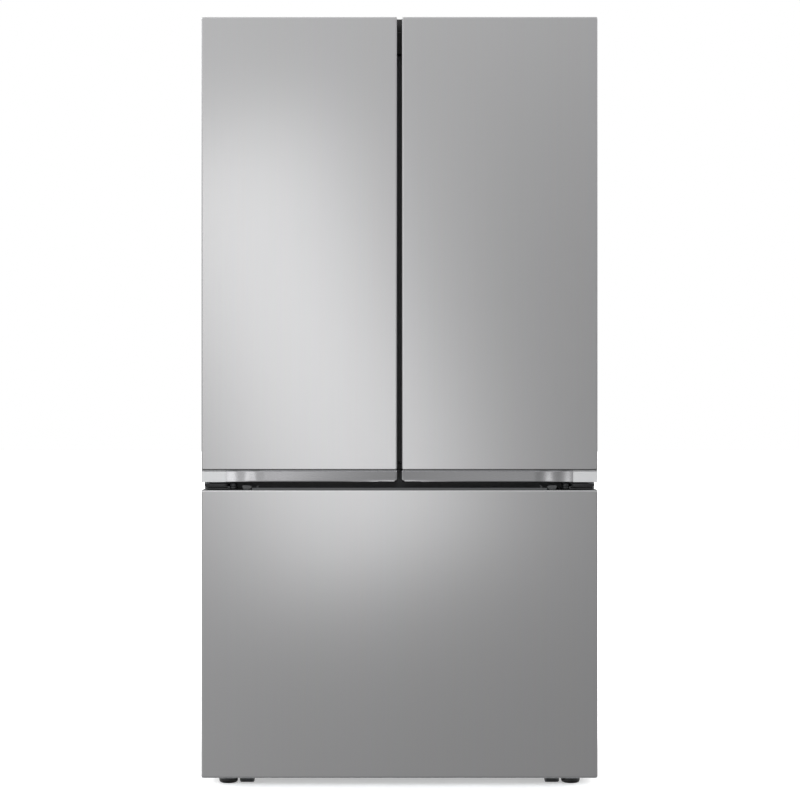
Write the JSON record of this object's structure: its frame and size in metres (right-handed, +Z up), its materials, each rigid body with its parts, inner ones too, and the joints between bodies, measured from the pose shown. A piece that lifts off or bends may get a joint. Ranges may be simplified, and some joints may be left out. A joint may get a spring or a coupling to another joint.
{
  "type": "french door refrigerator",
  "caption": "Free-standing counter-depth refrigerator with paired upper doors, a folding mullion between them and a telescopic freezer drawer below.",
  "frame": {"origin": "on the floor, in the middle of the footprint with all doors shut", "axes": "+Z up, -Y out of the door fronts, +X to the right of a person facing the doors"},
  "size_m": [0.908, 0.73, 1.782],
  "materials": {
    "case_paint": "powder coated, satin grey",
    "galvanised_sheet": "pre-coated steel sheet, light grey",
    "insulation_foam": null,
    "liner_white": "thermoformed HIPS, semi gloss",
    "brushed_stainless": "vertical brush, fingerprint-resistant lacquer",
    "bright_trim": "satin anodised",
    "black_plastic": "moulded ABS, fine grain",
    "grey_plastic": "moulded ABS, fine grain",
    "gasket_pvc": "soft PVC magnetic gasket",
    "clear_plastic": "clear polystyrene",
    "shelf_glass": "tempered glass in a white rim",
    "zinc_steel": "zinc plated",
    "hinge_steel": "black painted steel",
    "compressor_black": "gloss black paint",
    "copper": null,
    "fin_aluminium": "mill finish",
    "coil_black": "black painted steel tube",
    "board_green": "circuit board with solder mask"
  },
  "bodies": {
    "root": {"cabinet_shell": "case_paint", "rear_panel": "galvanised_sheet", "cabinet_foam": "insulation_foam", "fridge_liner": "liner_white", "freezer_liner": "liner_white", "centre_rail": "case_paint", "base_frame": "galvanised_sheet", "top_cover": "grey_plastic", "upper_hinges": "hinge_steel", "middle_hinges": "hinge_steel", "hinge_pins": "zinc_steel", "screws": "zinc_steel", "shelf_tracks": "zinc_steel", "glass_shelves": "shelf_glass", "drawer_covers": "shelf_glass", "crispers": "clear_plastic", "pantry_drawer": "clear_plastic", "air_duct": "liner_white", "compressor": "compressor_black", "condenser": "coil_black", "evaporator": "fin_aluminium", "evaporator_cover": "liner_white", "drain_pan": "black_plastic", "machine_cover": "galvanised_sheet", "refrigerant_lines": "copper", "control_board": "board_green", "cord_gland": "black_plastic", "slide_outer": "zinc_steel"},
    "left_door": {"left_door_panel": "brushed_stainless", "left_door_core": "insulation_foam", "left_door_liner": "liner_white", "left_door_caps": "black_plastic", "left_door_trim": "bright_trim", "left_door_gasket": "gasket_pvc", "left_door_bins": "clear_plastic"},
    "mullion": {"mullion": "black_plastic"},
    "right_door": {"right_door_panel": "brushed_stainless", "right_door_core": "insulation_foam", "right_door_liner": "liner_white", "right_door_caps": "black_plastic", "right_door_trim": "bright_trim", "right_door_gasket": "gasket_pvc", "right_door_bins": "clear_plastic"},
    "freezer_drawer": {"drawer_panel": "brushed_stainless", "drawer_core": "insulation_foam", "drawer_liner": "liner_white", "drawer_handle": "grey_plastic", "drawer_gasket": "gasket_pvc", "slide_inner": "zinc_steel", "lower_basket": "liner_white"},
    "drawer_rails": {"slide_middle": "zinc_steel"},
    "upper_basket": {"upper_basket": "liner_white"},
    "humidity_left": {"humidity_slider_left": "liner_white"},
    "humidity_right": {"humidity_slider_right": "liner_white"},
    "condenser_fan": {"condenser_fan": "black_plastic"},
    "evaporator_fan": {"evaporator_fan": "black_plastic"},
    "front_rollers": {"front_rollers": "grey_plastic"},
    "rear_rollers": {"rear_rollers": "grey_plastic"},
    "left_leg": {"levelling_leg_left": "black_plastic"},
    "right_leg": {"levelling_leg_right": "black_plastic"}
  },
  "joints": [
    {"name": "left_door_hinge", "type": "hinge", "parent": "root", "child": "left_door", "pos_m": [-0.44, -0.335, 1.22], "axis": [0, 0, -1], "range_deg": [0, 120]},
    {"name": "right_door_hinge", "type": "hinge", "parent": "root", "child": "right_door", "pos_m": [0.44, -0.335, 1.22], "axis": [0, 0, 1], "range_deg": [0, 120]},
    {"name": "mullion_fold", "type": "hinge", "parent": "left_door", "child": "mullion", "pos_m": [-0.04, -0.269, 1.22], "axis": [0, 0, 1], "range_deg": [0, 90]},
    {"name": "drawer_slide", "type": "slide", "parent": "root", "child": "freezer_drawer", "axis": [0, -1, 0], "range_m": [0, 0.42]},
    {"name": "rail_slide", "type": "slide", "parent": "root", "child": "drawer_rails", "axis": [0, -1, 0], "range_m": [0, 0.21]},
    {"name": "upper_basket_slide", "type": "slide", "parent": "freezer_drawer", "child": "upper_basket", "axis": [0, 1, 0], "range_m": [0, 0.1]},
    {"name": "humidity_left_slide", "type": "slide", "parent": "root", "child": "humidity_left", "axis": [1, 0, 0], "range_m": [0, 0.03]},
    {"name": "humidity_right_slide", "type": "slide", "parent": "root", "child": "humidity_right", "axis": [1, 0, 0], "range_m": [0, 0.03]},
    {"name": "condenser_fan_spin", "type": "hinge", "parent": "root", "child": "condenser_fan", "pos_m": [0.09, 0.245, 0.165], "axis": [1, 0, 0], "continuous": true},
    {"name": "evaporator_fan_spin", "type": "hinge", "parent": "root", "child": "evaporator_fan", "pos_m": [0, 0.222, 0.58], "axis": [0, 1, 0], "continuous": true},
    {"name": "front_rollers_roll", "type": "hinge", "parent": "root", "child": "front_rollers", "pos_m": [0, -0.262, 0.022], "axis": [1, 0, 0], "continuous": true},
    {"name": "rear_rollers_roll", "type": "hinge", "parent": "root", "child": "rear_rollers", "pos_m": [0, 0.315, 0.022], "axis": [1, 0, 0], "continuous": true},
    {"name": "left_leg_turn", "type": "hinge", "parent": "root", "child": "left_leg", "pos_m": [-0.4, -0.262, 0], "axis": [0, 0, 1], "continuous": true},
    {"name": "right_leg_turn", "type": "hinge", "parent": "root", "child": "right_leg", "pos_m": [0.4, -0.262, 0], "axis": [0, 0, 1], "continuous": true}
  ],
  "couplings": [
    {"joint": "rail_slide", "follows": "drawer_slide", "ratio": 0.5}
  ]
}
